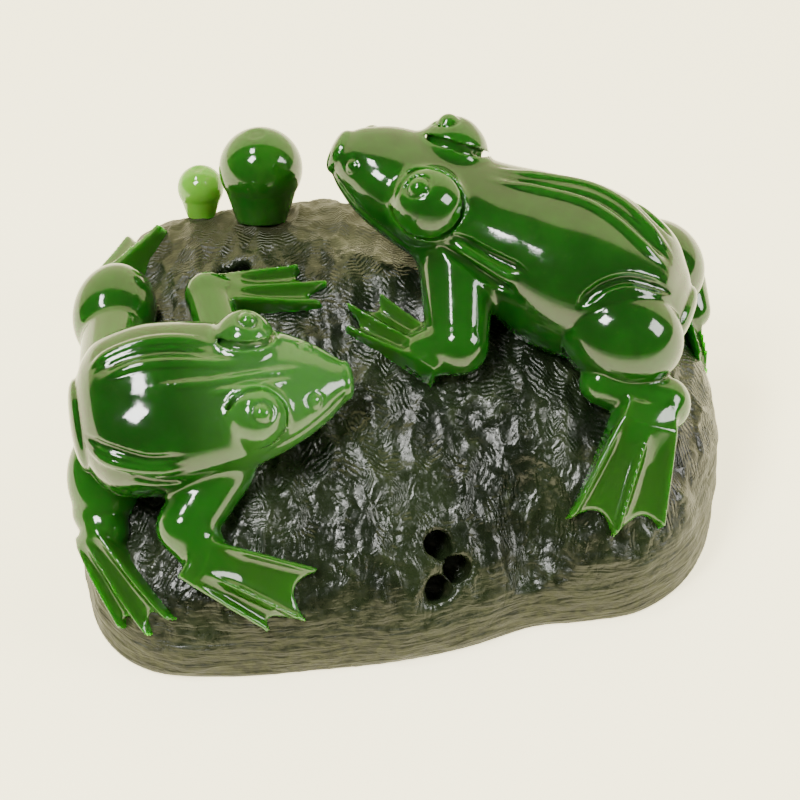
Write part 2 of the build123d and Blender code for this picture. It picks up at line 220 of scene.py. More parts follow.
# ================================================================ modelling clay
class Clay:
    """A block of clay, kept as the signed distance to its surface on a regular grid."""

    def __init__(self, low, high, cell):
        self.low = np.array(low, float)
        self.cell = cell
        counts = np.ceil((np.array(high) - self.low) / cell).astype(int) + 1
        self.field = np.full(counts, FAR, np.float32)
        self.axes = [(self.low[i] + cell * np.arange(counts[i])).astype(np.float32) for i in range(3)]

    def places(self):
        """Coordinates of the whole grid."""
        x, y, z = self.axes
        return x[:, None, None], y[None, :, None], z[None, None, :]

    def window(self, low, high):
        """The part of the grid inside a box, and its coordinates."""
        first = np.maximum(np.floor((low - self.low) / self.cell).astype(int), 0)
        last = np.minimum(np.ceil((high - self.low) / self.cell).astype(int) + 1, self.field.shape)
        cut = tuple(slice(a, max(a, b)) for a, b in zip(first, last))
        x, y, z = (self.axes[i][cut[i]] for i in range(3))
        return cut, (x[:, None, None], y[None, :, None], z[None, None, :])

    def add(self, shape, blend=0.3):
        """Presses a shape on, with a fillet of about the blend where it joins."""
        low, high, distance = shape
        cut, place = self.window(low - blend - 0.6, high + blend + 0.6)
        if 0 in self.field[cut].shape:
            return
        self.field[cut] = soft_min(self.field[cut], distance(place), blend)

    def cut_away(self, shape, blend=0.1):
        """Takes a shape away, with rounded lips."""
        low, high, distance = shape
        cut, place = self.window(low - blend - 0.6, high + blend + 0.6)
        if 0 in self.field[cut].shape:
            return
        self.field[cut] = -soft_min(-self.field[cut], distance(place), blend)

    def sample(self, points):
        """The distance at any points, read between the grid's."""
        spot = (np.asarray(points) - self.low) / self.cell
        spot = np.clip(spot, 0, np.array(self.field.shape) - 1.001)
        base = spot.astype(int)
        part = spot - base
        total = np.zeros(len(spot))
        for dx in (0, 1):
            for dy in (0, 1):
                for dz in (0, 1):
                    weight = (np.abs(1 - dx - part[:, 0]) * np.abs(1 - dy - part[:, 1])
                              * np.abs(1 - dz - part[:, 2]))
                    total += weight * self.field[base[:, 0] + dx, base[:, 1] + dy, base[:, 2] + dz]
        return total

    def slope(self, points):
        """Direction in which the distance grows, and how fast."""
        step = self.cell
        columns = []
        for axis in range(3):
            move = np.zeros(3)
            move[axis] = step
            columns.append((self.sample(points + move) - self.sample(points - move)) / (2 * step))
        return np.stack(columns, 1)

    def settle(self, points, height=0.0, rounds=10):
        """Moves points on to the surface, or a height above it."""
        points = np.array(points, float)
        for _ in range(rounds):
            slope = self.slope(points)
            size = np.maximum((slope ** 2).sum(1, keepdims=True), 0.05)
            move = (self.sample(points) - height)[:, None] * slope / size
            length = np.linalg.norm(move, axis=1, keepdims=True)
            points -= move * np.minimum(1, 1.0 / np.maximum(length, 1e-6))
        return points

    def groove(self, points, width, depth, lip=0.15, steps=8):
        """Cuts a rounded groove along a line on the surface, fading at both ends."""
        line = self.settle(curve_through(points, steps))
        self.stroke(line, width / 2, width / 2 - depth, lip, False)

    def ridge(self, points, width, height, blend=0.25, steps=8):
        """Raises a rounded bead along a line on the surface, fading at both ends."""
        line = self.settle(curve_through(points, steps))
        self.stroke(line, width / 2, height - width / 2, blend, True)

    def stroke(self, line, radius, offset, blend, raised):
        """Adds or cuts a round bar along a line, at an offset out from the surface."""
        slope = self.slope(line)
        outward = slope / np.maximum(np.linalg.norm(slope, axis=1, keepdims=True), 1e-6)
        share = np.linspace(0, 1, len(line))
        fade = np.minimum(np.minimum(share, 1 - share) * 5, 1.0)
        radii = radius * (0.45 + 0.55 * fade)
        sink = (1 - fade) * radius * 0.5
        offsets = offset - sink if raised else offset + sink
        line = line + outward * offsets[:, None]
        for i in range(len(line) - 1):
            shape = bone(line[i], radii[i], line[i + 1], radii[i + 1])
            if raised:
                self.add(shape, blend)
            else:
                self.cut_away(shape, blend)

    def skin(self):
        """The surface as vertices in millimetres and quads, drawn tight to the true shape."""
        band = 3 * self.cell
        grid = openvdb.FloatGrid(band)
        grid.copyFromArray(np.clip(self.field, -band, band))
        points, quads = grid.convertToQuads()
        points = self.low + np.asarray(points, float) * self.cell
        for _ in range(3):
            slope = self.slope(points)
            size = np.maximum((slope ** 2).sum(1, keepdims=True), 0.05)
            move = self.sample(points)[:, None] * slope / size
            length = np.linalg.norm(move, axis=1, keepdims=True)
            points -= move * np.minimum(1, 0.3 * self.cell / np.maximum(length, 1e-6))
        return points, np.asarray(quads)


def soft_min(a, b, blend):
    """The lesser of two distances, rounded where they meet."""
    if blend <= 0:
        return np.minimum(a, b)
    near = np.maximum(blend - np.abs(a - b), 0) / blend
    return np.minimum(a, b) - near * near * (blend * 0.25)


def true_distance(level, cell):
    """Turns any smooth field that is zero on the surface into a near distance."""
    gx, gy, gz = np.gradient(level, cell)
    size = np.sqrt(gx * gx + gy * gy + gz * gz)
    return np.clip(level / np.maximum(size, 1e-3), -FAR, FAR).astype(np.float32)


# ---------------------------------------------------------------- shapes for the clay
def ball(middle, radius):
    """A sphere."""
    middle = np.array(middle, float)

    def distance(place):
        return np.sqrt(sum((place[i] - middle[i]) ** 2 for i in range(3))) - radius

    return middle - radius, middle + radius, distance


def egg(middle, directions, radii):
    """An ellipsoid with its own directions."""
    middle = np.array(middle, float)
    reach = max(radii)

    def distance(place):
        shift = [place[i] - middle[i] for i in range(3)]
        near = 0
        far = 0
        for direction, radius in zip(directions, radii):
            along = sum(shift[i] * direction[i] for i in range(3))
            near = near + (along / radius) ** 2
            far = far + (along / radius ** 2) ** 2
        near = np.sqrt(near)
        return near * (near - 1) / np.maximum(np.sqrt(far), 1e-4)

    return middle - reach, middle + reach, distance


def bone(start, start_radius, end, end_radius):
    """A tapered bar with round ends."""
    start = np.array(start, float)
    end = np.array(end, float)
    axis = end - start
    length2 = float(axis @ axis)
    step = start_radius - end_radius
    slant2 = length2 - step * step

    def distance(place):
        px, py, pz = (place[i] - start[i] for i in range(3))
        y = px * axis[0] + py * axis[1] + pz * axis[2]
        z = y - length2
        x2 = length2 * np.maximum((px * px + py * py + pz * pz) * length2 - y * y, 0)
        y2 = y * y * length2
        z2 = z * z * length2
        k = np.sign(step) * step * step * x2
        side = (np.sqrt(x2 * slant2 / length2) + y * step) / length2 - start_radius
        side = np.where(np.sign(y) * slant2 * y2 < k, np.sqrt(x2 + y2) / length2 - start_radius, side)
        return np.where(np.sign(z) * slant2 * z2 > k, np.sqrt(x2 + z2) / length2 - end_radius, side)

    reach = max(start_radius, end_radius)
    if slant2 <= 0:
        return ball(start, start_radius) if step > 0 else ball(end, end_radius)
    return np.minimum(start, end) - reach, np.maximum(start, end) + reach, distance


def ring(middle, axis, radius, thickness):
    """A round wire."""
    middle = np.array(middle, float)

    def distance(place):
        shift = [place[i] - middle[i] for i in range(3)]
        along = sum(shift[i] * axis[i] for i in range(3))
        out = np.sqrt(np.maximum(sum(part * part for part in shift) - along * along, 0))
        return np.sqrt((out - radius) ** 2 + along ** 2) - thickness

    reach = radius + thickness
    return middle - reach, middle + reach, distance


# ================================================================ frogs
class Frog:
    """Places points of one frog, in its own axes or over the boulder."""

    def __init__(self, place, lift, turn):
        heading, pitch, roll = (math.radians(value) for value in turn)
        self.x = place[0] * ROCK_LENGTH
        self.y = place[1] * ROCK_DEPTH
        self.middle = over_rock(self.x, self.y, lift)
        self.forward = vec(math.cos(heading) * math.cos(pitch), math.sin(heading) * math.cos(pitch),
                           math.sin(pitch))
        left = vec(-math.sin(heading), math.cos(heading), 0)
        up = np.cross(self.forward, left)
        self.left = left * math.cos(roll) + up * math.sin(roll)
        self.up = up * math.cos(roll) - left * math.sin(roll)

    def own(self, forward, left, up):
        """A point in the frog's own axes."""
        return self.middle + self.forward * forward + self.left * left + self.up * up

    def over(self, dx, dy, height):
        """A point above the boulder, near the frog."""
        return over_rock(self.x + dx, self.y + dy, height)


def lofted(clay, frog, sections, caps, squareness=2.4):
    """Head and trunk through oval sections: forward, aside, rise, half width, top, bottom."""
    table = curve_through(np.array(sections), 10)
    low, high = table[:, 0].min(), table[:, 0].max()
    place = clay.places()
    shift = [place[i] - frog.middle[i] for i in range(3)]
    forward, left, up = (sum(shift[i] * axis[i] for i in range(3)).astype(np.float32)
                         for axis in (frog.forward, frog.left, frog.up))
    along = np.clip(forward, low, high)
    aside, rise, width, top, bottom = (np.interp(along, table[:, 0], table[:, i]).astype(np.float32)
                                       for i in range(1, 6))
    cap = np.where(forward > along, caps[0], caps[1]).astype(np.float32)
    past = np.abs(forward - along) / cap
    up = up - rise
    tall = np.where(up > 0, top, bottom)
    level = (past ** squareness + np.abs((left - aside) / width) ** squareness
             + np.abs(up / tall) ** squareness) ** (1 / squareness) - 1
    clay.field = soft_min(clay.field, true_distance(level, clay.cell), 0.3)


def limb_chain(clay, joints, blends):
    """A limb's bones, each blended to what is already there."""
    for i in range(len(joints) - 1):
        (start, start_radius), (end, end_radius) = joints[i], joints[i + 1]
        clay.add(bone(start, start_radius, end, end_radius), blends[i])


def soft_max(a, b, blend):
    """The greater of two distances, rounded where they meet."""
    return -soft_min(-a, -b, blend)


def webbed_fan(clay, frog, wrist, tips, width, heights, notch=0.17, flute=0.5, line=0.22, edge=0.35):
    """A webbed hand or foot on the boulder: thin raised toes with hollows between them."""
    # The fan lies flat on the boulder: u runs along it from the wrist, v across it.
    ends = np.array([frog.over(*tip, 0) for tip in tips])
    base = over_rock(wrist[0], wrist[1])
    middle = ends.mean(0)
    halfway = (base + middle) / 2
    normal = rock_normal(halfway[0], halfway[1])
    along = middle - base
    along = unit(along - normal * (along @ normal))
    across = np.cross(normal, along)
    u = (ends - base) @ along
    v = (ends - base) @ across
    order = np.argsort(v)
    u, v = u[order], v[order]
    # All toes spread from one point behind the wrist.
    spread = max((v[-1] - v[0]) / 2, width / 2 + 0.4)
    back = min(width / 2 * u.mean() / (spread - width / 2), 14.0)
    angles = np.arctan2(v, u + back)
    radii = np.hypot(u + back, v)
    reach = radii.max() + 1
    low = np.minimum(base - width, ends.min(0)) - 1.5
    high = np.maximum(base + width, ends.max(0)) + 1.5
    high[2] += heights[0]
    cut, place = clay.window(low, high)
    shift = [place[i] - base[i] for i in range(3)]
    pu = sum(shift[i] * along[i] for i in range(3)) + back
    pv = sum(shift[i] * across[i] for i in range(3))
    angle = np.arctan2(pv, pu)
    radius = np.hypot(pu, pv)
    # Between two toes the web is hollow and its rim is notched; each toe has a fine raised line.
    toe = np.interp(angle, angles, np.arange(len(angles)))
    part = toe - np.floor(toe)
    hollow = 4 * part * (1 - part)
    length = np.interp(angle, angles, radii) * (1 - notch * hollow * (1 - back / reach))
    gap = np.interp(toe, np.arange(len(angles) - 1) + 0.5, np.diff(angles))
    from_toe = np.minimum(part, 1 - part) * gap * radius
    share = np.clip((radius - back) / np.maximum(length - back, 0.1), 0, 1)
    height = heights[1] + (heights[0] - heights[1]) * (1 - share) ** 1.4
    onset = np.clip(share * 2.5, 0, 1)
    height = height - flute * onset * hollow ** 0.6 + line * onset * np.exp(-(from_toe / 0.30) ** 2)
    side = radius * np.maximum(angles[0] - angle, angle - angles[-1]) - edge
    outline = np.maximum(np.maximum(radius - length - edge * 0.6, side), (back - width * 0.3) - radius)
    shape = soft_max(clay.rock[cut] - height, outline, 0.5).astype(np.float32)
    clay.field[cut] = soft_min(clay.field[cut], shape, 0.5)


def carve_eye(clay, frog, forward, side, up, radius, pupil):
    """A ball in an incised socket, with a raised pupil."""
    middle = frog.own(forward, side, up)
    outward = unit(frog.left * math.copysign(0.66, side) + frog.up * 0.72 + frog.forward * 0.15)
    clay.add(ball(middle - outward * radius * 0.3, radius * 1.25), 0.9)
    clay.cut_away(ring(middle - outward * radius * 0.05, outward, radius * 1.08, radius * 0.17), 0.12)
    clay.add(ball(middle, radius), 0.08)
    look = unit(frog.forward * pupil[0] + frog.left * math.copysign(pupil[1], side) + frog.up * pupil[2])
    boss = middle + look * radius * 0.9
    clay.cut_away(ring(boss, look, radius * 0.43, radius * 0.06), 0.06)
    clay.add(ball(boss - look * radius * 0.14, radius * 0.4), 0.06)


def carve_nostril(clay, frog, forward, side, up, radius=0.85):
    """A low disc with a ring cut round it."""
    spot = clay.settle([frog.own(forward, side, up)])[0]
    slope = unit(clay.slope(np.array([spot]))[0])
    clay.cut_away(ring(spot, slope, radius, 0.14), 0.08)
    disc = radius * 0.8
    clay.add(egg(spot - slope * 0.12, (slope, *side_directions(slope)), (0.3, disc, disc)), 0.05)


def side_directions(axis):
    """Two directions square to an axis and to each other."""
    first = unit(np.cross(axis, vec(0.31, 0.27, 0.91)))
    return first, np.cross(axis, first)


# Place as shares of the boulder's length and depth, height of the middle, then heading, pitch and roll.
LEFT = Frog((-0.336, -0.185), 5.9, (8.0, 5.0, 20.0))
RIGHT = Frog((0.255, 0.135), 5.6, (163.0, 18.5, 0.0))
PALE_GLOW_FROM = LEFT.own(11.0, -1.0, 2.0)      # paler green painted round the left frog's head: partly the stone's paler tone, partly light shining through the thinner stone

# Sections of head and trunk in millimetres: forward, aside, rise, half width, height above
# the middle line, height below it.
LEFT_TRUNK = [
    (-9.0, 0.0, -0.8, 4.6, 3.6, 3.4), (-8.0, 0.0, -0.6, 6.3, 4.9, 4.4), (-6.4, 0.0, -0.3, 7.6, 5.9, 5.6),
    (-3.2, 0.0, 0.0, 8.3, 6.4, 6.2), (0.0, 0.0, 0.0, 8.3, 6.4, 6.3), (4.3, 0.0, 0.2, 7.6, 5.5, 5.9),
    (7.7, 0.0, 0.3, 6.8, 4.6, 5.1), (11.3, 0.0, 0.2, 5.4, 3.6, 4.2), (14.2, 0.0, 0.0, 3.7, 2.7, 3.1),
    (16.4, 0.0, -0.1, 1.9, 1.6, 1.9),
]
RIGHT_TRUNK = [
    (-12.6, 0.0, -1.2, 3.8, 3.2, 3.2), (-11.4, 0.0, -1.0, 5.2, 4.4, 4.4), (-9.0, 0.0, -0.7, 7.2, 6.2, 6.2),
    (-5.0, 0.0, -0.7, 8.5, 7.3, 7.4), (0.0, 0.0, -0.8, 8.7, 7.6, 7.8), (5.0, 0.0, -0.6, 7.5, 6.5, 6.8),
    (10.0, 0.0, -0.4, 6.4, 5.2, 5.4), (15.0, 0.0, -0.3, 6.2, 4.8, 4.9), (20.0, 0.0, -0.1, 5.1, 4.2, 4.0),
    (23.0, 0.0, 0.1, 3.5, 3.0, 2.9), (24.4, 0.0, 0.1, 2.3, 2.1, 2.0),
]

# Folds and creases in each frog's own axes (forward, left, up), with width and height;
# a negative height is a groove.
RIGHT_LINES = [
    (1.3, 0.38, [(11.6, -2.2, 4.8), (6.7, -3.3, 5.6), (1.9, -4.4, 6.2), (-2.4, -4.0, 6.4),
                 (-6.2, -2.2, 6.2), (-10.0, -0.6, 4.6)]),
    (1.3, 0.38, [(11.6, -0.2, 5.0), (6.4, -0.9, 6.0), (1.5, -1.2, 6.8), (-2.3, -0.6, 6.8),
                 (-6.2, 0.6, 6.3), (-10.0, 1.0, 4.6)]),
    (1.0, -0.40, [(11.0, -1.2, 5.0), (4.0, -2.1, 6.2), (-1.0, -2.4, 6.6), (-6.0, -0.8, 6.2),
                  (-9.6, 0.2, 5.0)]),
    (1.0, -0.55, [(11.2, 5.9, 2.1), (8.1, 6.3, 2.1), (5.5, 6.8, 2.5), (3.1, 7.2, 2.9)]),
    (1.1, 0.30, [(11.6, 6.2, 1.3), (8.5, 6.6, 1.2), (5.5, 7.0, 1.2), (3.2, 7.5, 1.6)]),
    (1.0, -0.55, [(11.8, 6.4, 0.5), (8.9, 7.0, 0.4), (5.5, 7.3, 0.0), (3.4, 7.9, 0.5)]),
    (1.2, -0.60, [(-2.7, 8.2, 2.5), (-3.2, 7.6, 3.8), (-4.2, 6.3, 5.0), (-6.1, 4.8, 5.6), (-8.6, 3.6, 5.1),
                  (-10.6, 2.5, 4.0)]),
    (1.2, -0.60, [(-3.2, -7.6, 3.8), (-4.2, -6.3, 5.0), (-6.1, -4.8, 5.6), (-8.6, -3.6, 5.1)]),
    (0.5, -0.22, [(24.2, 2.0, -0.2), (21.8, 4.2, -0.8), (17.5, 5.8, -1.5), (13.5, 6.2, -1.9)]),
    (0.5, -0.22, [(24.2, -2.0, -0.2), (21.8, -4.2, -0.8), (17.5, -5.8, -1.5), (13.5, -6.2, -1.9)]),
]
LEFT_LINES = [
    (1.2, 0.34, [(-7.8, 3.0, 4.6), (-4.1, 4.2, 5.6), (0.7, 4.4, 5.6), (5.4, 3.4, 5.6)]),
    (1.1, 0.30, [(-7.2, 1.1, 5.2), (-3.4, 1.8, 6.3), (0.4, 1.7, 6.3), (4.6, 1.2, 5.8), (9.5, 1.0, 4.4)]),
    (0.9, -0.28, [(-7.4, 2.0, 5.0), (-3.4, 2.9, 6.0), (0.4, 3.0, 6.0), (4.6, 2.2, 5.8)]),
    (0.7, 0.22, [(-2.0, -0.6, 6.4), (3.3, -0.8, 5.8), (7.6, -0.4, 4.9), (12.4, 0.3, 3.3)]),
    (0.7, 0.22, [(3.2, -1.9, 5.8), (7.5, -1.5, 5.0), (11.6, -0.9, 3.6)]),
    (0.9, -0.34, [(-9.0, -2.3, 2.6), (-6.4, -5.2, 4.4), (-2.8, -6.9, 4.2), (0.9, -6.9, 3.8)]),
    (0.9, 0.24, [(-8.6, -3.4, 2.2), (-6.0, -6.2, 3.2), (-2.8, -7.6, 3.2), (0.9, -7.6, 2.6)]),
    (0.9, -0.34, [(-4.9, -6.9, 2.4), (-3.1, -7.9, 1.8), (0.5, -8.2, 0.7)]),
    (0.6, -0.26, [(4.5, -4.5, 5.1), (5.4, -5.8, 4.5), (7.6, -6.7, 3.9), (9.8, -5.6, 3.8)]),
    (0.5, -0.20, [(16.6, -1.2, 0.6), (14.1, -3.6, 0.8), (11.0, -5.4, 0.8), (7.6, -6.9, 1.2)]),
    (0.5, -0.20, [(16.6, 1.2, 0.6), (14.1, 3.6, 0.8), (11.0, 5.4, 0.8), (7.6, 6.9, 1.2)]),
]


def carve_lines(clay, frog, lines):
    """Raises the folds and cuts the creases of a frog's skin."""
    for width, height, points in lines:
        places = [frog.own(*point) for point in points]
        if height > 0:
            clay.ridge(places, width, height)
        else:
            clay.groove(places, width, -height)


def frog_clay(low, high, cell):
    """A block of clay that knows where the boulder lies."""
    clay = Clay(low, high, cell)
    place = clay.places()
    clay.rock = true_distance(rock_level(place), cell)
    return clay


def shape_left_frog(cell):
    """The smaller frog, which leans down the slope towards the right."""
    clay = frog_clay([-36.5, -31.0, 0.0], [-3.0, 26.0, 32.0], cell)
    frog = LEFT
    lofted(clay, frog, LEFT_TRUNK, (0.9, 1.2))
    # far arm
    wrist = frog.over(5.0, 15.4, 1.3)
    limb_chain(clay, [(frog.own(5.5, 5.0, -2.0), 2.4), (frog.over(2.4, 15.4, 2.0), 2.2), (wrist, 1.5)],
               (1.5, 0.5))
    webbed_fan(clay, frog, wrist, [(11.3, 18.4), (14.3, 16.0), (13.6, 13.8)], 3.0, (2.6, 0.9))
    # near arm
    wrist = frog.over(3.0, -11.0, 1.5)
    limb_chain(clay, [(frog.own(3.4, -5.8, -2.8), 3.3), (frog.over(1.2, -9.2, 2.6), 2.8), (wrist, 2.3)],
               (0.9, 0.4))
    webbed_fan(clay, frog, wrist, [(13.3, -11.2), (12.4, -14.3), (8.9, -14.9)], 6.0, (3.3, 0.9))
    # far leg: folded thigh and shank as one leaf, then the foot
    ankle = frog.over(-6.9, 21.6, 1.6)
    lie = (vec(0.2, 0.93, 0.3), vec(0.98, -0.2, 0.0), vec(0.06, -0.3, 0.95))
    clay.add(egg(frog.over(-7.0, 15.4, 3.6), lie, (5.4, 4.1, 4.2)), 0.2)
    limb_chain(clay, [(frog.own(-6.0, 4.5, -1.0), 3.0), (frog.over(-7.0, 15.4, 3.0), 3.2), (ankle, 1.8)],
               (0.5, 0.4))
    webbed_fan(clay, frog, ankle, [(-9.0, 27.3), (-6.2, 30.0), (-2.9, 28.6)], 3.8, (2.8, 1.0))
    # near leg
    ankle = frog.over(-6.9, -6.4, 1.6)
    lie = (vec(-0.1, 0.8, 0.6), vec(1, 0, 0.1), vec(0, -0.6, 0.8))
    clay.add(egg(frog.over(-7.2, -2.0, 2.9), lie, (5.2, 3.6, 3.4)), 0.25)
    limb_chain(clay, [(frog.over(-7.6, -4.4, 2.2), 2.7), (ankle, 2.3)], (0.3,))
    webbed_fan(clay, frog, ankle, [(-6.0, -14.4), (-2.8, -15.5), (-0.3, -14.4)], 4.2, (3.0, 0.9))
    cover_pins(clay, ("left_frog_front_pin", "left_frog_rear_pin"))
    carve_lines(clay, frog, LEFT_LINES)
    for side in (1, -1):
        carve_eye(clay, frog, 7.6, side * 4.4, 4.1, 2.4, (0.30, 0.25, 0.92))
        carve_nostril(clay, frog, 13.4, side * 3.0, 2.6)
    trim_to_rock(clay)
    return clay


def shape_right_frog(cell):
    """The larger frog, raised on the crest with its head to the left."""
    clay = frog_clay([-10.0, -20.0, 2.0], [37.0, 28.0, 42.0], cell)
    frog = RIGHT
    lofted(clay, frog, RIGHT_TRUNK, (1.1, 1.4))
    # near arm
    wrist = frog.over(-13.6, -9.0, 1.9)
    limb_chain(clay, [(frog.own(9.6, 4.4, -2.6), 3.8), (frog.over(-10.7, -9.2, 3.0), 3.0), (wrist, 2.4)],
               (1.2, 0.25))
    webbed_fan(clay, frog, wrist, [(-18.3, -2.4), (-21.6, -3.2), (-21.4, -5.7)], 5.4, (3.4, 0.9))
    # far arm
    wrist = frog.over(-11.4, 11.8, 1.5)
    limb_chain(clay, [(frog.own(9.0, -5.0, -2.5), 2.8), (frog.over(-9.0, 11.0, 2.4), 2.4), (wrist, 1.8)],
               (1.2, 0.4))
    webbed_fan(clay, frog, wrist, [(-15.4, 11.8), (-15.0, 14.2), (-13.0, 15.6)], 3.0, (2.2, 0.9))
    # near leg: thigh, shank turned back across it, and the broad foot
    ankle = frog.over(6.5, -14.4, 1.6)
    lie = (vec(0.86, -0.42, -0.28), vec(0.42, 0.9, 0.1), vec(0.2, -0.2, 0.95))
    clay.add(egg(frog.over(5.2, -7.4, 4.9), lie, (6.3, 5.3, 5.4)), 0.15)
    limb_chain(clay, [(frog.over(3.4, -11.2, 2.4), 2.3), (frog.over(9.3, -11.8, 2.6), 2.8), (ankle, 2.6)],
               (0.1, 0.3))
    webbed_fan(clay, frog, ankle, [(0.1, -22.2), (4.3, -23.1), (8.9, -21.2)], 8.2, (3.4, 1.0))
    # far leg
    ankle = frog.over(13.6, 4.6, 1.6)
    lie = (vec(0.9, 0.3, -0.3), vec(-0.3, 0.95, 0), vec(0.3, 0, 0.95))
    clay.add(egg(frog.over(9.5, 5.2, 4.0), lie, (5.2, 5.0, 4.6)), 0.3)
    limb_chain(clay, [(frog.over(12.4, 7.0, 2.8), 2.8), (ankle, 2.0)], (0.2,))
    webbed_fan(clay, frog, ankle, [(14.2, -1.2), (15.4, 1.0), (15.6, 3.2)], 3.4, (2.4, 0.9))
    cover_pins(clay, ("right_frog_front_pin", "right_frog_rear_pin"))
    carve_lines(clay, frog, RIGHT_LINES)
    for side in (1, -1):
        carve_eye(clay, frog, 14.6, side * 4.6, 3.1, 2.9, (0.60, 0.20, 0.77))
        carve_nostril(clay, frog, 22.4, side * 2.6, 1.6)
    trim_to_rock(clay)
    return clay


def rock_level(place):
    """Zero on the plain boulder's surface, growing outwards, as a near distance."""
    cx, cy = crest()
    x, y, z = place
    length, steepness = rock_rays(np.arctan2(y - cy, x - cx))
    reach = length * (1 - np.clip(z / ROCK_HEIGHT, 0, 1) ** steepness)
    above = np.maximum(z - ROCK_HEIGHT, 0)
    return np.hypot(x - cx, y - cy) - reach + above * 3


def cover_pins(clay, names):
    """Brings the belly down round the dowel pins that hold it."""
    for name in names:
        low, high = ((np.array(corner) - SHIFT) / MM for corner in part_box(name))
        middle = (low + high) / 2
        foot, head = (vec(middle[0], middle[1], level) for level in (low[2], high[2]))
        clay.add(bone(foot, PIN_COVER, head, PIN_COVER), 1.2)


def trim_to_rock(clay):
    """Takes away what the boulder hides."""
    clay.field = np.maximum(clay.field, -(clay.rock + ROCK_SINK))


def shape_boulder(cell):
    """The boulder before its surface is chiselled."""
    clay = Clay([-34.0, -28.0, -1.0], [34.0, 28.0, 24.5], cell)
    place = clay.places()
    clay.field = true_distance(rock_level(place), cell)
    middle = over_rock(*CREVICE_MIDDLE)
    normal = rock_normal(*CREVICE_MIDDLE)
    along = unit(over_rock(*CREVICE_FOOT) - over_rock(*CREVICE_HEAD))
    across = unit(np.cross(along, normal))
    lean = unit(across * 0.86 - normal * 0.38)
    # Two long hollows, the broad one leaning over the narrow one.
    directions = (along, lean, unit(np.cross(lean, along)))
    clay.cut_away(egg(middle + normal * 1.6 - across * 0.8, directions, (10.5, 4.6, 3.4)), 0.12)
    clay.cut_away(egg(middle + normal * 0.1 + across * 1.0, directions, (8.5, 1.7, 1.4)), 0.2)
    for (x, y), lobes, radius, depth in PITS:
        normal = rock_normal(x, y)
        for dx, dy in lobes:
            spot = over_rock(x + dx, y + dy)
            clay.cut_away(bone(spot + normal * 2, radius * 1.1, spot - normal * depth, radius * 0.8), 0.5)
    axis = vec(0, math.sin(BEAD_LEAN), math.cos(BEAD_LEAN))
    for x, y, radius in BEAD_SEATS:
        clay.cut_away(ring(over_rock(x, y) + axis * 0.1, axis, radius, 0.55), 0.4)
    clay.field = np.maximum(clay.field, -place[2])
    return clay


# ================================================================ meshes
def plain_mesh(name, points, quads, marks=None):
    """An object from millimetre vertices about the boulder's middle."""
    mesh = bpy.data.meshes.new(name)
    vertices = (points * MM + SHIFT).astype(np.float32)
    mesh.vertices.add(len(vertices))
    mesh.vertices.foreach_set("co", vertices.ravel())
    a, b, c, d = (points[quads[:, i]] for i in range(4))
    volume = np.einsum("ij,ij->i", a, np.cross(b, c) + np.cross(c, d)).sum()
    if volume < 0:
        quads = quads[:, ::-1]
    mesh.loops.add(quads.size)
    mesh.loops.foreach_set("vertex_index", quads.ravel().astype(np.int32))
    mesh.polygons.add(len(quads))
    mesh.polygons.foreach_set("loop_start", np.arange(0, quads.size, 4, dtype=np.int32))
    mesh.polygons.foreach_set("loop_total", np.full(len(quads), 4, np.int32))
    mesh.polygons.foreach_set("use_smooth", np.ones(len(quads), bool))
    mesh.update(calc_edges=True)
    for mark, values in (marks or {}).items():
        layer = mesh.attributes.new(mark, "FLOAT", "POINT")
        layer.data.foreach_set("value", values.astype(np.float32))
    piece = bpy.data.objects.new(name, mesh)
    bpy.context.scene.collection.objects.link(piece)
    return piece


def thickness(clay, points):
    """How much stone lies behind each point: 0 at a thin edge, 1 where it is thick."""
    slope = clay.slope(points)
    inward = -slope / np.maximum(np.linalg.norm(slope, axis=1, keepdims=True), 1e-6)
    total = np.zeros(len(points))
    for depth in (1.2, 3.0, 5.5):
        total += np.clip(-clay.sample(points + inward * depth) / depth, 0, 1) / 3
    return total


def settle_modifier(piece, modifier):
    """Turns a piece with a node modifier into a plain mesh."""
    graph = bpy.context.evaluated_depsgraph_get()
    mesh = bpy.data.meshes.new_from_object(piece.evaluated_get(graph), preserve_all_data_layers=True,
                                           depsgraph=graph)
    piece.modifiers.remove(modifier)
    old = piece.data
    piece.data = mesh
    bpy.data.meshes.remove(old)
    mesh.name = piece.name


# ================================================================ node helpers
def add_node(tree, kind, inputs=None, **settings):
    """A node with its settings; inputs are values or sockets to join."""
    made = tree.nodes.new(kind)
    for name, value in settings.items():
        setattr(made, name, value)
    for key, value in (inputs or {}).items():
        if isinstance(value, bpy.types.NodeSocket):
            tree.links.new(value, made.inputs[key])
        else:
            made.inputs[key].default_value = value
    return made


def calc(tree, operation, *values, clamp=False):
    """A sum on numbers."""
    return add_node(tree, "ShaderNodeMath", dict(enumerate(values)), operation=operation,
                    use_clamp=clamp).outputs[0]


def vector_calc(tree, operation, *values):
    """A sum on vectors."""
    made = add_node(tree, "ShaderNodeVectorMath", dict(enumerate(values)), operation=operation)
    return made.outputs["Value" if operation in ("LENGTH", "DOT_PRODUCT", "DISTANCE") else "Vector"]


def scaled(tree, vector, factor):
    """A vector made longer or shorter."""
    return add_node(tree, "ShaderNodeVectorMath", {0: vector, "Scale": factor},
                    operation="SCALE").outputs["Vector"]


def from_xyz(tree, x, y, z):
    """A vector from three numbers."""
    return add_node(tree, "ShaderNodeCombineXYZ", {0: x, 1: y, 2: z}).outputs[0]


def split_xyz(tree, vector):
    """The three numbers of a vector."""
    return add_node(tree, "ShaderNodeSeparateXYZ", {0: vector}).outputs


def plus(tree, a, b):
    return calc(tree, "ADD", a, b)


def less(tree, a, b):
    return calc(tree, "SUBTRACT", a, b)


def times(tree, a, b):
    return calc(tree, "MULTIPLY", a, b)


